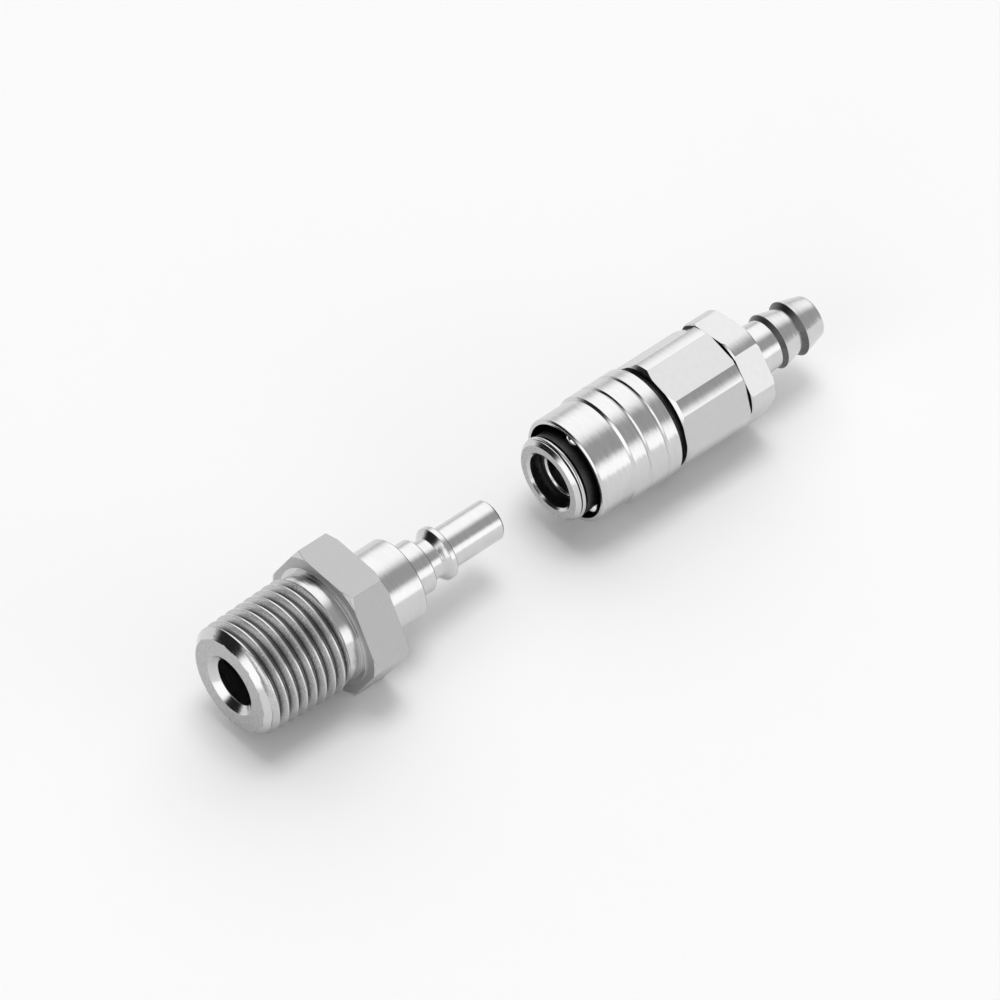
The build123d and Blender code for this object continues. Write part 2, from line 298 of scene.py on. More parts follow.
def thread_surface():
    """The threaded skin of the plug, from its end face to its relief, open at both ends."""
    bm = thread_helix()
    for v in bm.verts:
        drawn_r = math.hypot(v.co.y, v.co.z)
        deep = DRAWN_R - drawn_r / MM
        x = min(max(v.co.x / MM, PLUG_FACE), RELIEF_REAR)
        along = x - PLUG_FACE
        crest_r = THREAD_END_R + along * THREAD_TAPER
        fade = min(1.0, (RELIEF_REAR - x) / RUN_OUT, along / RUN_IN)
        r = min(crest_r - deep * fade, LEAD_R + along)
        if x > RELIEF_FRONT:
            r = min(r, max(RELIEF_R, crest_r - (x - RELIEF_FRONT)))
        if x == RELIEF_REAR:
            r = RELIEF_R
        v.co = (x * MM, v.co.y * r * MM / drawn_r, v.co.z * r * MM / drawn_r)
    bmesh.ops.remove_doubles(bm, verts=bm.verts[:], dist=THREAD_WELD)
    for face in bm.faces:
        spot = face.calc_center_median() / MM
        below = full_r(spot.x - PLUG_FACE) - math.hypot(spot.y, spot.z)
        in_groove = below > CUT_DEPTH and spot.x < RELIEF_FRONT + CUT_PAST
        face.material_index = CUT if in_groove else TURNED
    return bm


# %% [markdown]
# Behind the thread come a relief, the hexagon with its chamfered corners, a plain shank and
# the nose: a stem, the neck that the balls drop into, a land with a sloped back and the
# long thin tip that pushes through the packing. A bore runs right through.

# %% The rest of the plug
PLUG_BORE_R = 2.05
PLUG_SINK_R = 2.62
RELIEF_LEN = 1.06
BOSS_R = 5.12
BOSS_LEN = 0.12
PLUG_HEX = 11.25
HEX_LEN = 3.33
HEX_EDGE = 0.28
HEX_DROP = 1.8 * HEX_EDGE
HEX_FRONT = PLUG_FACE + THREAD_LEN + RELIEF_LEN + BOSS_LEN
SHANK_R = 3.50
SHANK_LEN = 4.15
STEM_R = 2.27
STEM_LEN = 2.07
NECK_R = 1.71
NECK_LEN = 1.13
LAND_LEN = 0.51
NOSE_R = 1.74
NOSE_BORE_R = 1.10
NOSE_BORE_LEN = 13.4
NOSE_EDGE = 0.15
SMALL_EDGE = 0.09


def plug_outline():
    """The plug behind its thread, from the relief round the nose and back along the bore."""
    boss = PLUG_FACE + THREAD_LEN + RELIEF_LEN
    shank = HEX_FRONT + HEX_LEN
    shank_end = shank + SHANK_LEN
    stem_end = shank_end + STEM_LEN
    neck_end = stem_end + NECK_LEN
    land = neck_end + STEM_R - NECK_R
    land_end = land + LAND_LEN
    corner = PLUG_HEX / math.sqrt(3)
    bore_end = PLUG_TIP - NOSE_BORE_LEN
    return [
        (RELIEF_REAR, RELIEF_R),
        (boss, RELIEF_R),
        (boss, BOSS_R),
        (HEX_FRONT, BOSS_R),
        (HEX_FRONT, corner - HEX_DROP),
        (HEX_FRONT + HEX_EDGE, corner),
        (shank - HEX_EDGE, corner),
        (shank, corner - HEX_DROP),
        (shank, SHANK_R),
        (shank_end - SMALL_EDGE, SHANK_R),
        (shank_end, SHANK_R - SMALL_EDGE),
        (shank_end, STEM_R),
        (stem_end - SMALL_EDGE, STEM_R),
        (stem_end, STEM_R - SMALL_EDGE),
        (stem_end, NECK_R),
        (neck_end, NECK_R),
        (land, STEM_R),
        (land_end - SMALL_EDGE, STEM_R),
        (land_end, STEM_R - SMALL_EDGE),
        (land_end, NOSE_R),
        (PLUG_TIP - NOSE_EDGE, NOSE_R),
        (PLUG_TIP, NOSE_R - NOSE_EDGE),
        (PLUG_TIP, NOSE_BORE_R),
        (bore_end, NOSE_BORE_R),
        (bore_end - PLUG_BORE_R + NOSE_BORE_R, PLUG_BORE_R),
        (PLUG_FACE + PLUG_SINK_R - PLUG_BORE_R, PLUG_BORE_R),
        (PLUG_FACE, PLUG_SINK_R),
        (PLUG_FACE, LEAD_R),
    ]


# %% [markdown]
# The thread and the outline are turned with the same number of steps and end in the same
# two circles, one at the plug's face and one at the relief. remove_doubles welds them there,
# so that the plug is one closed skin.

# %% Joining the thread to the rest
def make_plug():
    bm = lathe(plug_outline(), steps=THREAD_STEPS, closed=False)
    mill(bm, PLUG_HEX, 0, finish=DRAWN)
    # The rear-facing chamfers behind the hexagon are painted dark as shade along those edges.
    mark_slopes(bm, low=0.5, high=0.9, finish=EDGE_SHADE_PAINTED, front=HEX_FRONT + HEX_LEN + 2 * WIDE_SLACK)
    mark_front(bm, PLUG_FACE, FACED)
    mark_inside(bm, FAR, DRAWN, front=HEX_FRONT - SLACK, rear=HEX_FRONT + SLACK)
    skin = thread_surface()
    mesh = bpy.data.meshes.new("thread skin")
    skin.to_mesh(mesh)
    skin.free()
    bm.from_mesh(mesh)
    bpy.data.meshes.remove(mesh)
    bmesh.ops.remove_doubles(bm, verts=bm.verts[:], dist=WIDE_WELD)
    bmesh.ops.recalc_face_normals(bm, faces=bm.faces[:])
    print("open edges of the plug", sum(e.is_boundary for e in bm.edges))
    return finish_piece(bm, "threaded_plug", "plug", "plug_body",
                        edge=0.03, clamp=False)


plug = make_plug()

# %% [markdown]
# The socket's body shows in three places: the nose with its mouth, the hexagonal barrel
# behind the sleeve, and the dark gap between them. Its outline runs along the outside and
# back through the bore, where a slope seats the collar.

# %% The socket body
MOUTH_R = 2.40
GUIDE_R = 2.65
BODY_NOSE_R = 3.55
BODY_STEP_R = 4.06
STEP_TO_BARREL = 3.48
BARREL_R = 4.73
BODY_HEX = 8.80
BODY_HEX_ROLL = 13.8
BARREL_LEN = 6.52
BARREL_EDGE = 0.26
REAR_EDGE = 0.12
MOUTH_EDGE = 0.30
MOUTH_LIP = 0.20
SEAT_FROM = 1.28
SEAT_TO = 2.58
CHAMBER_R = 3.05
CHAMBER_LEN = 3.50
THREAD_BORE_R = 3.42
THREAD_BORE_LEN = 3.66
RING_FROM_MOUTH = 0.66
RING_GROOVE = 0.62
RING_GROOVE_R = 3.23
SHADE_PAINTED_LEN = 0.62
SHADE_PAINTED_FROM_MOUTH = 1.02
RING_GROOVE_FRONT = MOUTH + RING_FROM_MOUTH - RING_GROOVE / 2
RING_GROOVE_REAR = RING_GROOVE_FRONT + RING_GROOVE
BARREL_FRONT = BODY_REAR - BARREL_LEN
SHADE_PAINTED, MILLED, MOUTH_FACED = 1, 2, 3


def body_outline():
    """The body from its mouth along the outside, and back to the mouth along the bore."""
    step = BARREL_FRONT - STEP_TO_BARREL
    bore_step = BODY_REAR - THREAD_BORE_LEN
    return [
        (MOUTH, MOUTH_R + MOUTH_LIP),
        (MOUTH, BODY_NOSE_R - MOUTH_EDGE),
        (MOUTH + MOUTH_EDGE, BODY_NOSE_R),
        (RING_GROOVE_FRONT, BODY_NOSE_R),
        (RING_GROOVE_FRONT, RING_GROOVE_R),
        (RING_GROOVE_REAR, RING_GROOVE_R),
        (RING_GROOVE_REAR, BODY_NOSE_R),
        (step, BODY_NOSE_R),
        (step, BODY_STEP_R),
        (BARREL_FRONT - SHADE_PAINTED_LEN, BODY_STEP_R),
        (BARREL_FRONT, BODY_STEP_R),
        (BARREL_FRONT, BARREL_R - BARREL_EDGE),
        (BARREL_FRONT + BARREL_EDGE, BARREL_R),
        (BODY_REAR - REAR_EDGE, BARREL_R),
        (BODY_REAR, BARREL_R - REAR_EDGE),
        (BODY_REAR, THREAD_BORE_R),
        (bore_step, THREAD_BORE_R),
        (bore_step, CHAMBER_R),
        (bore_step - CHAMBER_LEN, CHAMBER_R),
        (bore_step - CHAMBER_LEN, GUIDE_R),
        (MOUTH + SEAT_TO, GUIDE_R),
        (MOUTH + SEAT_FROM, MOUTH_R),
        (MOUTH + MOUTH_LIP, MOUTH_R),
    ]


# %% [markdown]
# Three holes in the nose hold the balls. Each is drilled from outside and stops just short
# of the bore, so that its rim keeps the ball in. A Boolean modifier cuts them with a short
# drill of the same shape, and its result is kept as the mesh.

# %% Drilling the ball holes
BALL_HOLE_R = 0.762
BALL_COUNT = 3
BALL_IN_R = 2.832
DRILL_PARTS = 12
DRILL_STEPS = 40


def ball_way(number):
    """Where a packed ball lies along the axis, and its direction from the axis."""
    low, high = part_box(f"ball_{number}")
    middle = (low + high) / 2
    return middle.x, Vector((0, middle.y, middle.z)).normalized()


def drill(way, x):
    """A round-ended drill that points to the axis along way, at x metres."""
    bm = bmesh.new()
    spots = []
    for i in range(DRILL_PARTS + 1):
        angle = math.pi / 2 * i / DRILL_PARTS
        height = BALL_IN_R - BALL_HOLE_R * math.cos(angle)
        spots.append(bm.verts.new((0, BALL_HOLE_R * math.sin(angle) * MM, height * MM)))
    spots.append(bm.verts.new((0, BALL_HOLE_R * MM, 2 * BALL_IN_R * MM)))
    spots.append(bm.verts.new((0, 0, 2 * BALL_IN_R * MM)))
    edges = [bm.edges.new(pair) for pair in zip(spots, spots[1:])]
    bmesh.ops.spin(
        bm,
        geom=spots + edges,
        cent=(0, 0, 0),
        axis=(0, 0, 1),
        dvec=(0, 0, 0),
        angle=math.tau,
        steps=DRILL_STEPS,
        use_merge=True,
        use_duplicate=False,
    )
    bmesh.ops.remove_doubles(bm, verts=bm.verts[:], dist=WIDE_WELD)
    bmesh.ops.recalc_face_normals(bm, faces=bm.faces[:])
    turn = Vector((0, 0, 1)).rotation_difference(way).to_matrix().to_4x4()
    bmesh.ops.transform(bm, matrix=Matrix.Translation((x, 0, 0)) @ turn, verts=bm.verts[:])
    return bm


def carve(bm, tool_bm):
    """The bmesh with the tool's shape cut out of it."""
    target = bpy.data.meshes.new("target")
    bm.to_mesh(target)
    bm.free()
    tool = bpy.data.meshes.new("tool")
    tool_bm.to_mesh(tool)
    tool_bm.free()
    work = bpy.data.objects.new("work", target)
    cutter = bpy.data.objects.new("cutter", tool)
    for thing in (work, cutter):
        bpy.context.scene.collection.objects.link(thing)
    cut = work.modifiers.new("cut", "BOOLEAN")
    cut.operation = "DIFFERENCE"
    cut.solver = "EXACT"
    cut.object = cutter
    graph = bpy.context.evaluated_depsgraph_get()
    result = bpy.data.meshes.new_from_object(work.evaluated_get(graph))
    for thing in (work, cutter):
        bpy.data.objects.remove(thing)
    done = bmesh.new()
    done.from_mesh(result)
    bpy.data.meshes.remove(result)
    return done


def make_body():
    bm = lathe(body_outline())
    mill(bm, BODY_HEX, BODY_HEX_ROLL, finish=MILLED)
    for number in range(1, BALL_COUNT + 1):
        x, way = ball_way(number)
        bm = carve(bm, drill(way, x))
    # The bore, the step in front of the barrel, the ring groove and the nose behind it are
    # painted near-black as shade.
    mark_inside(bm, GUIDE_R + WIDE_SLACK, SHADE_PAINTED, front=MOUTH + MOUTH_LIP)
    mark_inside(bm, BARREL_R - BARREL_EDGE, SHADE_PAINTED, front=BARREL_FRONT - SHADE_PAINTED_LEN,
                rear=BARREL_FRONT + SLACK)
    mark_front(bm, MOUTH, MOUTH_FACED)
    mark_inside(bm, BODY_NOSE_R - 2 * SLACK, SHADE_PAINTED, front=RING_GROOVE_FRONT - SLACK,
                rear=RING_GROOVE_REAR + SLACK)
    mark_inside(bm, BODY_NOSE_R + WIDE_SLACK, SHADE_PAINTED, front=MOUTH + SHADE_PAINTED_FROM_MOUTH,
                rear=BODY_REAR - 2 * WIDE_SLACK)
    return finish_piece(bm, "mouth_and_barrel", "socket_body", "socket")


body = make_body()

# %% [markdown]
# The sleeve slides on the body. It is thin at the front, steps up with a bright chamfer and
# has two shallow round grooves for the fingers. Inside, a slope leads down to the land that
# locks the balls.

# %% The sleeve
SLEEVE_RIM_R = 4.165
SLEEVE_NOSE_R = 4.555
SLEEVE_NOSE_LEN = 3.20
SLEEVE_R = 4.76
SLEEVE_LAND_R = 3.66
SLEEVE_CONE_FROM = 0.73
SLEEVE_CONE_TO = 2.94
SLEEVE_LAND_LEN = 0.50
SLEEVE_SKIRT_R = 4.14
SLEEVE_EDGE = 0.15
SLEEVE_STEPS = 192
GROOVE_PLACES = (4.83, 6.66)
GROOVE_PROFILE = ((-0.13, 0.0), (-0.07, 0.10), (-0.02, 0.145), (0.03, 0.145), (0.175, 0.0))


def make_sleeve():
    step = SLEEVE_FRONT + SLEEVE_NOSE_LEN
    land = SLEEVE_FRONT + SLEEVE_CONE_TO
    outline = [
        (SLEEVE_FRONT, SLEEVE_RIM_R),
        (SLEEVE_FRONT, SLEEVE_NOSE_R - SLEEVE_EDGE),
        (SLEEVE_FRONT + SLEEVE_EDGE, SLEEVE_NOSE_R),
        (step, SLEEVE_NOSE_R),
        (step + SLEEVE_R - SLEEVE_NOSE_R, SLEEVE_R),
    ]
    for place in GROOVE_PLACES:
        middle = SLEEVE_FRONT + place
        outline += [(middle + along, SLEEVE_R - deep) for along, deep in GROOVE_PROFILE]
    outline += [
        (SLEEVE_REAR - SLEEVE_EDGE, SLEEVE_R),
        (SLEEVE_REAR, SLEEVE_R - SLEEVE_EDGE),
        (SLEEVE_REAR, SLEEVE_SKIRT_R),
        (land + SLEEVE_LAND_LEN, SLEEVE_SKIRT_R),
        (land + SLEEVE_LAND_LEN, SLEEVE_LAND_R),
        (land, SLEEVE_LAND_R),
        (SLEEVE_FRONT + SLEEVE_CONE_FROM, SLEEVE_RIM_R),
    ]
    bm = lathe(outline, steps=SLEEVE_STEPS)
    # The inside of the sleeve is painted near-black as shade.
    mark_inside(bm, SLEEVE_RIM_R + 2 * SLACK, SHADE_PAINTED, front=SLEEVE_FRONT + SLACK,
                rear=SLEEVE_REAR - SLACK)
    return finish_piece(bm, "grip_sleeve", "sleeve", "sleeve_body")


sleeve = make_sleeve()

# %% [markdown]
# The hose adapter screws into the back of the body. Its hexagon is turned a little from the
# body's, since a thread stops where it is tight. The tail has two barbs that rise steeply
# and fall away gently, so that the hose slides on and grips.

# %% The hose adapter
ADAPTER_THREAD_R = 3.40
ADAPTER_HEX = 8.75
ADAPTER_HEX_ROLL = -8.2
ADAPTER_BORE_R = 1.25
JOINT_GAP = 0.14
TAIL_ROOT_R = 2.25
TAIL_WAIST_R = 2.11
TAIL_WAIST_LEN = 3.00
BARB_R = 2.39
BARB_RISE = 0.40
BARB_LEN = 2.16
BARB_LOW_R = 2.00
TAIL_END_R = 1.86
TAIL_ROUND = 0.25
TAIL_ROUND_PARTS = 6
TAIL_SINK = 0.08
FLATS, JOINT_SHADE_PAINTED, BARB_SHADE_PAINTED = 1, 2, 3


def make_adapter():
    front = BODY_REAR + JOINT_GAP
    barb_1 = TAIL_WAIST_LEN
    barb_2 = barb_1 + BARB_LEN
    outline = [
        (ADAPTER_FRONT, ADAPTER_BORE_R),
        (ADAPTER_FRONT, ADAPTER_THREAD_R - REAR_EDGE),
        (ADAPTER_FRONT + REAR_EDGE, ADAPTER_THREAD_R),
        (front, ADAPTER_THREAD_R),
        (front, BARREL_R - REAR_EDGE),
        (front + REAR_EDGE, BARREL_R),
        (-REAR_EDGE, BARREL_R),
        (0, BARREL_R - REAR_EDGE),
        (0, TAIL_ROOT_R),
        (barb_1, TAIL_WAIST_R),
        (barb_1 + BARB_RISE, BARB_R),
        (barb_2, BARB_LOW_R),
        (barb_2 + BARB_RISE, BARB_R),
        (TAIL_END - TAIL_ROUND, TAIL_END_R),
    ]
    for i in range(1, TAIL_ROUND_PARTS + 1):
        angle = math.pi / 2 * i / TAIL_ROUND_PARTS
        x = TAIL_END - TAIL_ROUND * (1 - math.sin(angle))
        outline.append((x, TAIL_END_R - TAIL_ROUND * (1 - math.cos(angle))))
    outline.append((TAIL_END, ADAPTER_BORE_R + TAIL_SINK))
    outline.append((TAIL_END - TAIL_SINK, ADAPTER_BORE_R))
    bm = lathe(outline)
    mill(bm, ADAPTER_HEX, ADAPTER_HEX_ROLL, finish=FLATS)
    # The adapter's thread and its face at the joint are painted near-black as shade in the gap.
    mark_inside(bm, BARREL_R - REAR_EDGE, JOINT_SHADE_PAINTED, rear=front + SLACK)
    # The barbs' front slopes are painted dark as shade and reflection.
    mark_slopes(bm, low=-0.9, high=-0.4, finish=BARB_SHADE_PAINTED, front=0)
    return finish_piece(bm, "barbed_adapter", "hose_adapter", "socket")


adapter = make_adapter()

# %% [markdown]
# Inside the mouth stands the collar, which holds the balls out while the plug is away. A
# split ring of round wire sits in the groove in front of the balls and stops the sleeve.

# %% The collar, the stop ring and the balls
COLLAR_BORE_R = 1.80
COLLAR_EDGE = 0.14
COLLAR_FACE_R = 2.303
COLLAR_FRONT_R = 2.387
COLLAR_R = 2.62
COLLAR_CONE_LEN = 1.28
COLLAR_HEAD_LEN = 2.30
COLLAR_TAIL_R = 2.15
WIRE_R = 0.20
RING_OUT = 0.10
RING_SPLIT = 24
RING_STEPS = 150
BALL_R = 0.75


def make_collar():
    outline = [
        (COLLAR_FRONT, COLLAR_BORE_R + COLLAR_EDGE),
        (COLLAR_FRONT, COLLAR_FACE_R),
        (COLLAR_FRONT + COLLAR_EDGE / 2, COLLAR_FRONT_R),
        (COLLAR_FRONT + COLLAR_CONE_LEN, COLLAR_R),
        (COLLAR_FRONT + COLLAR_HEAD_LEN, COLLAR_R),
        (COLLAR_FRONT + COLLAR_HEAD_LEN, COLLAR_TAIL_R),
        (COLLAR_REAR, COLLAR_TAIL_R),
        (COLLAR_REAR, COLLAR_BORE_R),
        (COLLAR_FRONT + COLLAR_EDGE, COLLAR_BORE_R),
    ]
    bm = lathe(outline)
    return finish_piece(bm, "release_collar", "collar", "collar_body", edge=0.02)


def make_stop_ring():
    """A ring of wire with a gap: a circle spun most of the way round, with both ends capped."""
    middle_r = BODY_NOSE_R + RING_OUT - WIRE_R
    x = (RING_FRONT + RING_REAR) / 2
    bm = bmesh.new()
    bmesh.ops.create_circle(bm, segments=20, radius=WIRE_R * MM)
    start = math.radians(180 + RING_SPLIT / 2)
    stand = Matrix.Rotation(math.pi / 2, 4, "X")
    place = Matrix.Rotation(start, 4, "X") @ Matrix.Translation((x * MM, 0, middle_r * MM))
    bmesh.ops.transform(bm, matrix=place @ stand, verts=bm.verts[:])
    rim = bm.edges[:]
    swept = bmesh.ops.spin(
        bm,
        geom=bm.verts[:] + rim,
        cent=(0, 0, 0),
        axis=AXIS,
        dvec=(0, 0, 0),
        angle=math.radians(360 - RING_SPLIT),
        steps=RING_STEPS,
        use_duplicate=False,
    )
    last = [e for e in swept["geom_last"] if isinstance(e, bmesh.types.BMEdge)]
    bmesh.ops.contextual_create(bm, geom=rim)
    bmesh.ops.contextual_create(bm, geom=last)
    bmesh.ops.recalc_face_normals(bm, faces=bm.faces[:])
    return finish_piece(bm, "wire_ring", "stop_ring", "socket", round_edges=False)


def make_ball(number):
    low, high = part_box(f"ball_{number}")
    bm = bmesh.new()
    bmesh.ops.create_uvsphere(bm, u_segments=64, v_segments=32, radius=BALL_R * MM)
    bmesh.ops.translate(bm, vec=(low + high) / 2, verts=bm.verts[:])
    return finish_piece(bm, f"lock_ball_{number}", f"ball_{number}", f"ball_{number}_body",
                        round_edges=False)


collar = make_collar()
ring = make_stop_ring()
balls = [make_ball(number) for number in range(1, BALL_COUNT + 1)]

# %% [markdown]
# Three coil springs push the collar, the sleeve and the valve. Each stands with one end on the
# socket and the other on the piece that it pushes, so it has to get shorter or longer when that
# piece slides. Here each is a merged, smooth-shaded copy of the imported coil, kept where and as
# long as it was imported.

# %% The springs
# the name of the copy, the body that moves it, and the x of its end on the socket
SPRINGS = {
    "collar_spring": ("pushing_coil", "collar_body", -11.5),
    "sleeve_spring": ("sleeve_coil", "sleeve_body", -12.6),
    "valve_spring": ("valve_coil", "valve_body", -5.96),
}


def make_spring(node, name, moved_body, held_x):
    bm = bmesh.new()
    bm.from_mesh(nodes[node].data)
    bmesh.ops.remove_doubles(bm, verts=bm.verts[:], dist=WIDE_WELD)
    mesh = bpy.data.meshes.new(name)
    bm.to_mesh(mesh)
    bm.free()
    mesh.shade_smooth()
    coil = bpy.data.objects.new(name, mesh)
    bpy.context.scene.collection.objects.link(coil)
    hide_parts(node)
    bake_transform(coil)
    return coil


springs = [make_spring(node, *facts) for node, facts in SPRINGS.items()]

# %% [markdown]
# Materials. The photograph shows bright nickel over turned metal. A metal's colour is in its
# reflections, so the base is a pale grey, and the character comes from fine marks that the
# cutting tool left: rings about the axis on every turned surface, read from a point's place
# along the axis and its distance from it, in Object coordinates. Two small classes keep the
# calls that add the nodes short.

# %% A node tree with short calls
class Nodes:
    """Adds nodes to the tree of a material or of the world, and links them."""

    def __init__(self, owner):
        owner.use_nodes = True
        self.tree = owner.node_tree
        self.tree.nodes.clear()

    def add(self, kind, **settings):
        node = self.tree.nodes.new(kind)
        for key, value in settings.items():
            setattr(node, key, value)
        return node

    def link(self, source, target):
        self.tree.links.new(source, target)

    def maths(self, operation, first, second=None):
        node = self.add("ShaderNodeMath", operation=operation)
        for socket, value in zip(node.inputs, (first, second)):
            if value is None:
                continue
            if isinstance(value, (int, float)):
                socket.default_value = value
            else:
                self.link(value, socket)
        return node.outputs[0]

    def ramp(self, value, low, high, start=0.0, end=1.0, kind="LINEAR"):
        """A value that goes from start to end becomes one that goes from low to high."""
        node = self.add("ShaderNodeMapRange", interpolation_type=kind)
        node.inputs["From Min"].default_value = start
        node.inputs["From Max"].default_value = end
        node.inputs["To Min"].default_value = low
        node.inputs["To Max"].default_value = high
        self.link(value, node.inputs["Value"])
        return node.outputs[0]


class Surface(Nodes):
    """The nodes of one material, with its shader and its Object coordinates."""

    def __init__(self, name, metallic=1.0):
        self.material = bpy.data.materials.new(name)
        super().__init__(self.material)
        self.shader = self.add("ShaderNodeBsdfPrincipled")
        self.shader.inputs["Metallic"].default_value = metallic
        out = self.add("ShaderNodeOutputMaterial")
        self.link(self.shader.outputs[0], out.inputs["Surface"])
        self.spot = self.add("ShaderNodeTexCoord").outputs["Object"]

    def noise(self, scale, detail, roughness=0.5):
        """Cloudy noise, with so many clouds per metre."""
        node = self.add("ShaderNodeTexNoise")
        node.inputs["Scale"].default_value = scale
        node.inputs["Detail"].default_value = detail
        node.inputs["Roughness"].default_value = roughness
        self.link(self.spot, node.inputs["Vector"])
        return node.outputs["Fac"]

    def lathe_places(self):
        """A point's x, y and z, and its distance from the axis."""
        parts = self.add("ShaderNodeSeparateXYZ")
        self.link(self.spot, parts.inputs[0])
        x, y, z = parts.outputs
        squares = self.maths("ADD", self.maths("MULTIPLY", y, y), self.maths("MULTIPLY", z, z))
        return x, y, z, self.maths("SQRT", squares)

    def bump(self, height, strength, depth, under=None):
        """A bump, depth millimetres deep, over the bump that is under it."""
        node = self.add("ShaderNodeBump")
        node.inputs["Strength"].default_value = strength
        node.inputs["Distance"].default_value = depth * MM
        self.link(height, node.inputs["Height"])
        if under is not None:
            self.link(under, node.inputs["Normal"])
        return node.outputs[0]

    def set_tone(self, colour, level):
        """Gives the shader a colour times a level that changes over the surface."""
        shade = self.add("ShaderNodeMix", data_type="RGBA", blend_type="MULTIPLY")
        shade.inputs["Factor"].default_value = 1.0
        shade.inputs["A"].default_value = (*colour, 1.0)
        self.link(level, shade.inputs["B"])
        self.link(shade.outputs["Result"], self.shader.inputs["Base Color"])


# %% [markdown]
# The lathe's tool leaves rings. They come from noise that changes fast along the axis and
# outwards from it, and slowly around it, so that each spot is drawn out into a streak. Rings
# and streaks each give a bump, and the tone and the gloss change a little with the streaks.

# %% Turned metal
def turned_metal(name, colour, roughness, ring_depth=0.004, streak_depth=0.014, patch=0.05):
    """Nickel with the rings of a lathe tool, longer streaks along them and small tone changes."""
    n = Surface(name)
    x, y, z, radius = n.lathe_places()

    def around(across, along, detail):
        """Noise of so many marks per metre across the turning and along it."""
        place = n.add("ShaderNodeCombineXYZ")
        n.link(n.maths("MULTIPLY", x, across), place.inputs[0])
        n.link(n.maths("MULTIPLY", radius, across), place.inputs[1])
        n.link(n.maths("MULTIPLY", y, along), place.inputs[2])
        noise = n.add("ShaderNodeTexNoise", noise_dimensions="4D")
        noise.inputs["Scale"].default_value = 1.0
        noise.inputs["Detail"].default_value = detail
        n.link(place.outputs[0], noise.inputs["Vector"])
        n.link(n.maths("MULTIPLY", z, along), noise.inputs["W"])
        return noise.outputs["Fac"]

    rings = around(across=14000.0, along=300.0, detail=2.0)
    streaks = around(across=3800.0, along=620.0, detail=3.0)
    clouds = n.noise(scale=420.0, detail=4.0)
    mixed = n.maths("ADD", n.maths("MULTIPLY", clouds, 0.4), n.maths("MULTIPLY", streaks, 0.6))
    n.set_tone(colour, n.ramp(mixed, 1.0 - patch, 1.0 + patch, start=0.3, end=0.7))
    gloss = n.ramp(streaks, roughness * 0.75, roughness * 1.3, start=0.3, end=0.7)
    n.link(gloss, n.shader.inputs["Roughness"])
    fine = n.bump(rings, strength=0.5, depth=ring_depth)
    long = n.bump(streaks, strength=1.0, depth=streak_depth, under=fine)
    n.link(long, n.shader.inputs["Normal"])
    return n.material


# %% [markdown]
# Other surfaces don't shine like that. The flats of the plug's hexagon are the drawn bar itself,
# even and satin, and the other flats are milled smooth. The two end faces were faced off and are
# greyer. The thread's flanks were torn a little by the die, so they are grainy, and they are
# painted darker towards the root as shade. Only the crests, which kept the turned skin, are
# bright.

# %% Drawn bar, cut thread and other grainy metal
# painted shade in the thread's groove: its width above the root and its darkest level
ROOT_SHADE_WIDTH = 0.32
ROOT_SHADE_LEVEL = 0.30


def grainy_metal(name, colour, roughness, grain, contrast, depth, root_r=None):
    """Metal with an even grain: so many grains per metre, in tone, in gloss and in height.

    With root_r, the tone is painted darker towards the thread's root as shade."""
    n = Surface(name)
    grains = n.noise(scale=grain, detail=3.0, roughness=0.65)
    level = n.ramp(grains, 1.0 - contrast, 1.0 + contrast, start=0.3, end=0.7)
    if root_r is not None:
        x, _, _, radius = n.lathe_places()
        height = n.maths("SUBTRACT", radius, n.maths("MULTIPLY", x, THREAD_TAPER))
        root = (root_r - PLUG_FACE * THREAD_TAPER) * MM
        root_shade = n.ramp(height, ROOT_SHADE_LEVEL, 1.0, start=root, end=root + ROOT_SHADE_WIDTH * MM,
                       kind="SMOOTHSTEP")
        level = n.maths("MULTIPLY", level, root_shade)
    n.set_tone(colour, level)
    n.link(n.ramp(grains, roughness * 0.85, roughness * 1.15), n.shader.inputs["Roughness"])
    n.link(n.bump(grains, strength=0.6, depth=depth), n.shader.inputs["Normal"])
    return n.material


# %% [markdown]
# The stop ring and the springs are drawn wire, and the balls are polished. They have no
# rings, so a slight cloudiness in the gloss is enough. The seals are matt black rubber.

# %% Wire, balls and rubber
def plain_metal(name, colour, roughness):
    """Drawn wire or a polished ball: metal with a slight cloudiness in its gloss."""
    n = Surface(name)
    clouds = n.noise(scale=900.0, detail=5.0)
    n.link(n.ramp(clouds, roughness * 0.6, roughness * 1.4), n.shader.inputs["Roughness"])
    n.shader.inputs["Base Color"].default_value = (*colour, 1.0)
    return n.material


def rubber(name):
    """Matt black nitrile with a fine grain."""
    n = Surface(name, metallic=0.0)
    tone = n.add("ShaderNodeValToRGB")
    tone.color_ramp.elements[0].color = (0.018, 0.018, 0.02, 1.0)
    tone.color_ramp.elements[1].color = (0.04, 0.04, 0.043, 1.0)
    n.link(n.noise(scale=3000.0, detail=2.0), tone.inputs["Fac"])
    n.link(tone.outputs[0], n.shader.inputs["Base Color"])
    n.shader.inputs["Roughness"].default_value = 0.6
    return n.material


# %% [markdown]
# Nearly everything is nickel on brass or steel, so one metal gets several finishes that differ in
# how it was worked, and two dark ones that are painted shade on edges, slopes, bores and gaps.
# Each is made once and given to every piece that has it, and the number that a face was marked
# with picks its finish from the list of its piece.

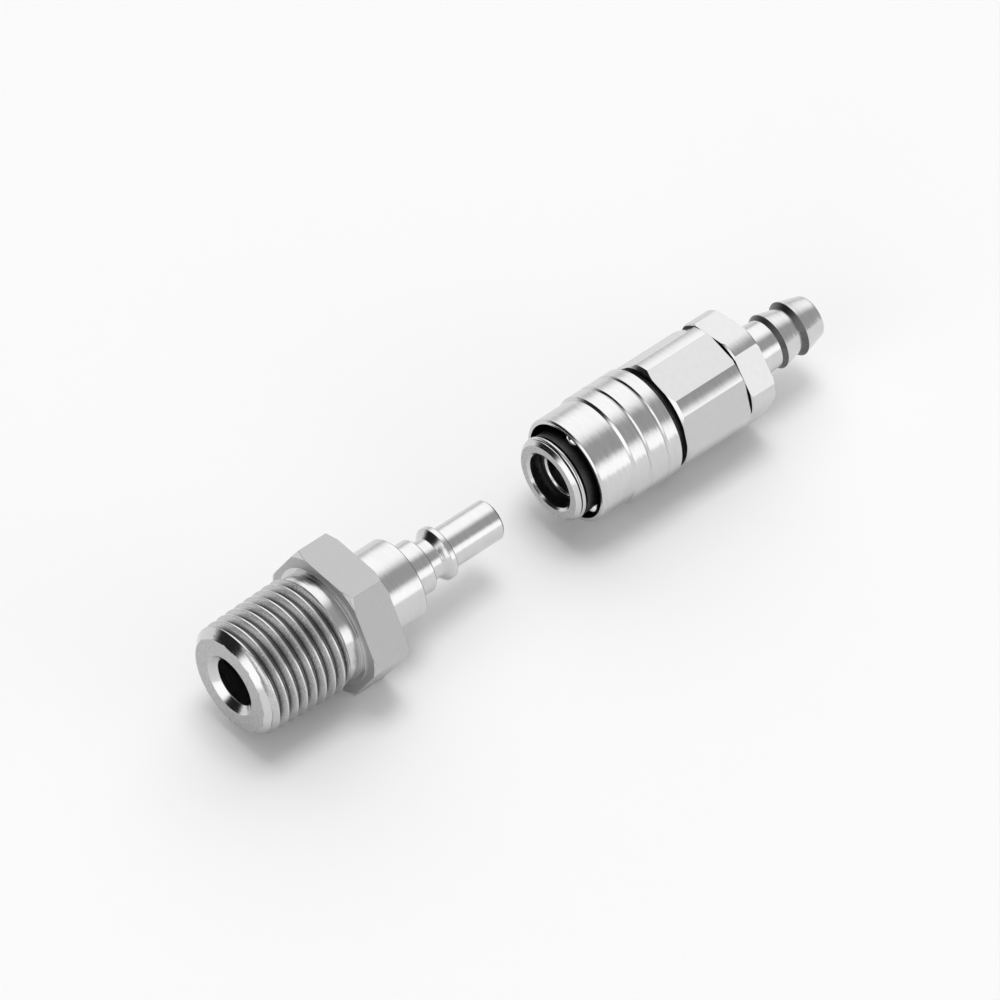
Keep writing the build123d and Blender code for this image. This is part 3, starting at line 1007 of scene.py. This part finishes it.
# %% The finishes
NICKEL = (0.63, 0.63, 0.635)
turned_nickel = turned_metal("turned nickel", NICKEL, roughness=0.16, streak_depth=0.016)
sleeve_nickel = turned_metal("brushed nickel", NICKEL, roughness=0.17, streak_depth=0.030,
                             patch=0.07)
collar_nickel = turned_metal("inner nickel", (0.60, 0.60, 0.61), roughness=0.20)
valve_brass = turned_metal("turned brass", (0.72, 0.55, 0.26), roughness=0.22)
drawn_nickel = grainy_metal("drawn bar nickel", (0.50, 0.50, 0.505), roughness=0.50,
                            grain=5200.0, contrast=0.05, depth=0.006)
milled_nickel = grainy_metal("milled flat nickel", (0.58, 0.58, 0.585), roughness=0.20,
                             grain=2400.0, contrast=0.025, depth=0.004)
cut_nickel = grainy_metal("cut thread nickel", (0.56, 0.56, 0.565), roughness=0.26,
                          grain=7200.0, contrast=0.20, depth=0.04,
                          root_r=THREAD_END_R - THREAD_DEPTH)
faced_nickel = grainy_metal("faced end nickel", (0.44, 0.44, 0.445), roughness=0.28,
                            grain=4200.0, contrast=0.12, depth=0.012)
# Painted shade: dark nickel for rear chamfers and barb slopes, near-black for bores, grooves and
# gaps.
edge_shade_painted_nickel = grainy_metal("painted edge shade nickel", (0.13, 0.13, 0.13), roughness=0.34,
                           grain=4000.0, contrast=0.15, depth=0.01)
shade_painted_nickel = grainy_metal("painted shade inner nickel", (0.06, 0.06, 0.06), roughness=0.40,
                            grain=3000.0, contrast=0.20, depth=0.01)
ball_steel = plain_metal("polished steel", (0.78, 0.78, 0.80), roughness=0.06)
wire_steel = plain_metal("drawn wire", (0.62, 0.62, 0.63), roughness=0.16)
black_rubber = rubber("black nitrile")


def paint(thing, *finishes):
    """Gives a piece its finishes; a face's finish number picks one of them."""
    numbers = [face.material_index for face in thing.data.polygons]
    thing.data.materials.clear()
    for each in finishes:
        thing.data.materials.append(each)
    thing.data.polygons.foreach_set("material_index", numbers)
    print(thing.name, "has", ", ".join(each.name for each in finishes))


paint(plug, turned_nickel, drawn_nickel, cut_nickel, edge_shade_painted_nickel, faced_nickel)
paint(body, turned_nickel, shade_painted_nickel, milled_nickel, faced_nickel)
paint(sleeve, sleeve_nickel, shade_painted_nickel)
paint(adapter, turned_nickel, milled_nickel, shade_painted_nickel, edge_shade_painted_nickel)
paint(collar, collar_nickel)
paint(ring, wire_steel)
for spring in springs:
    paint(spring, wire_steel)
for ball in balls:
    paint(ball, ball_steel)

# %% [markdown]
# The seals, washer, seat and valve are hidden inside the socket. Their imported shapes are
# right as they are, so they keep their meshes and take a finish only.

# %% Finishes for the inner pieces
INNER = {
    "packing_washer": collar_nickel,
    "valve_seat": valve_brass,
    "valve": valve_brass,
    "plug_packing": black_rubber,
    "valve_seal": black_rubber,
    "adapter_gasket": black_rubber,
}
for name, material in INNER.items():
    for held in nodes[name].material_slots:
        held.material = material

# %% [markdown]
# The photograph looks along a line that falls about 47 degrees, and the coupling's axis
# recedes to the upper right. A long lens keeps the two halves the same size. The camera is
# set from those facts: its three directions, the lens, and the point on the axis that it
# sees a little right of and below the middle of the picture.

# %% The camera
FORWARD = Vector((0.443, 0.512, -0.736)).normalized()
LENS = 360.0
SENSOR = 36.0
DISTANCE = 775.14
AIM_FROM_FACE = 27.91
AIM_RIGHT = 0.457
AIM_DOWN = 0.721

right = FORWARD.cross(Vector((0, 0, 1))).normalized()
up = right.cross(FORWARD).normalized()
aim = Vector((PLUG_FACE + AIM_FROM_FACE, 0, 0))
eye = aim - FORWARD * DISTANCE - right * AIM_RIGHT + up * AIM_DOWN
camera_data = bpy.data.cameras.new("camera")
camera_data.lens = LENS
camera_data.sensor_width = SENSOR
camera_data.clip_start = 10 * MM
camera_data.clip_end = 20.0
camera = bpy.data.objects.new("camera", camera_data)
bpy.context.scene.collection.objects.link(camera)
frame_axes = Matrix((right, up, -FORWARD)).transposed().to_4x4()
camera.matrix_world = Matrix.Translation(eye * MM) @ frame_axes
bpy.context.scene.camera = camera
print("camera at", [round(place, 1) for place in eye])

# %% [markdown]
# The coupling lies on a white table with its plug's lowest flat just clear of it. The table
# is wide enough to fill the picture, and it keeps the coupling's soft shadow.

# %% The table
TABLE_HALF = 1.2
TABLE_GAP = 0.02


def make_table():
    bm = bmesh.new()
    bmesh.ops.create_grid(bm, x_segments=1, y_segments=1, size=TABLE_HALF)
    bmesh.ops.translate(bm, vec=(0, 0, cad_low.z - TABLE_GAP * MM), verts=bm.verts[:])
    mesh = bpy.data.meshes.new("table")
    bm.to_mesh(mesh)
    bm.free()
    table = bpy.data.objects.new("table", mesh)
    bpy.context.scene.collection.objects.link(table)
    n = Surface("white table", metallic=0.0)
    n.shader.inputs["Base Color"].default_value = (0.93, 0.93, 0.93, 1.0)
    n.shader.inputs["Roughness"].default_value = 0.9
    n.shader.inputs["Specular IOR Level"].default_value = 0.1
    mesh.materials.append(n.material)
    print("table", round(cad_low.z / MM - TABLE_GAP, 3), "from the axis")


make_table()

# %% [markdown]
# A mirror-bright cylinder shows its room, so the room is what makes nickel look like nickel.
# The world is an even grey with four soft bright patches, as softboxes give, and one dark
# patch low in the back left, where the photographer's dark screen would stand. Each patch is
# the angle between a direction and the patch's middle, faded from its inner to its outer edge.

# %% The studio around the coupling
ROOM = 0.46
SLANT = math.sqrt(1 - FORWARD.x ** 2)


def around_axis(turn):
    """The way a ray of the camera leaves the cylinders; turn is in degrees back from +Z."""
    turn = math.radians(turn)
    return Vector((FORWARD.x, SLANT * math.sin(turn), SLANT * math.cos(turn)))


# the middle, the inner and the outer edge in degrees, and the brightness
BRIGHT = {
    "overhead": (around_axis(33), 13, 45, 1.02),
    "front strip": (around_axis(-82), 10, 28, 1.08),
    "back wall": (around_axis(100), 12, 44, 0.30),
    "left": (Vector((-0.93, -0.27, 0.25)), 20, 32, 1.1),
}
DARK_MIDDLE = Vector((-0.69, 0.61, 0.39))
DARK_EDGES = (19, 31)
DARK_DEPTH = 0.96


def set_world():
    world = bpy.data.worlds.new("studio")
    bpy.context.scene.world = world
    n = Nodes(world)
    light = n.add("ShaderNodeBackground")
    light.inputs["Color"].default_value = (1, 1, 1, 1)
    n.link(light.outputs[0], n.add("ShaderNodeOutputWorld").inputs["Surface"])
    way = n.add("ShaderNodeTexCoord").outputs["Generated"]

    def patch(middle, inner, outer, level):
        """A soft round patch of the given level."""
        near = n.add("ShaderNodeVectorMath", operation="DOT_PRODUCT")
        near.inputs[1].default_value = middle.normalized()
        n.link(way, near.inputs[0])
        return n.ramp(near.outputs["Value"], 0.0, level, start=math.cos(math.radians(outer)),
                      end=math.cos(math.radians(inner)), kind="SMOOTHSTEP")

    level = n.maths("SUBTRACT", ROOM, patch(DARK_MIDDLE, *DARK_EDGES, ROOM * DARK_DEPTH))
    for name, (middle, inner, outer, bright) in BRIGHT.items():
        level = n.maths("ADD", level, patch(middle, inner, outer, bright))
        print("patch", name, [round(part, 2) for part in middle])
    n.link(level, light.inputs["Strength"])


set_world()

# %% [markdown]
# A broad lamp from above lights the table and gives the shadow under the coupling. It is kept
# out of reflections, because the world's patches already are what the metal should show.

# %% The lamp over the table
LAMP_WAY = Vector((0.1, 0.05, 1.0))


def over_table(power, half_angle):
    data = bpy.data.lights.new("over the table", "SUN")
    data.energy = power
    data.angle = math.radians(2 * half_angle)
    lamp = bpy.data.objects.new("over the table", data)
    bpy.context.scene.collection.objects.link(lamp)
    lamp.rotation_euler = LAMP_WAY.to_track_quat("Z", "Y").to_euler()
    lamp.visible_glossy = False


over_table(power=0.95, half_angle=14)
bpy.context.scene.view_settings.view_transform = "Standard"
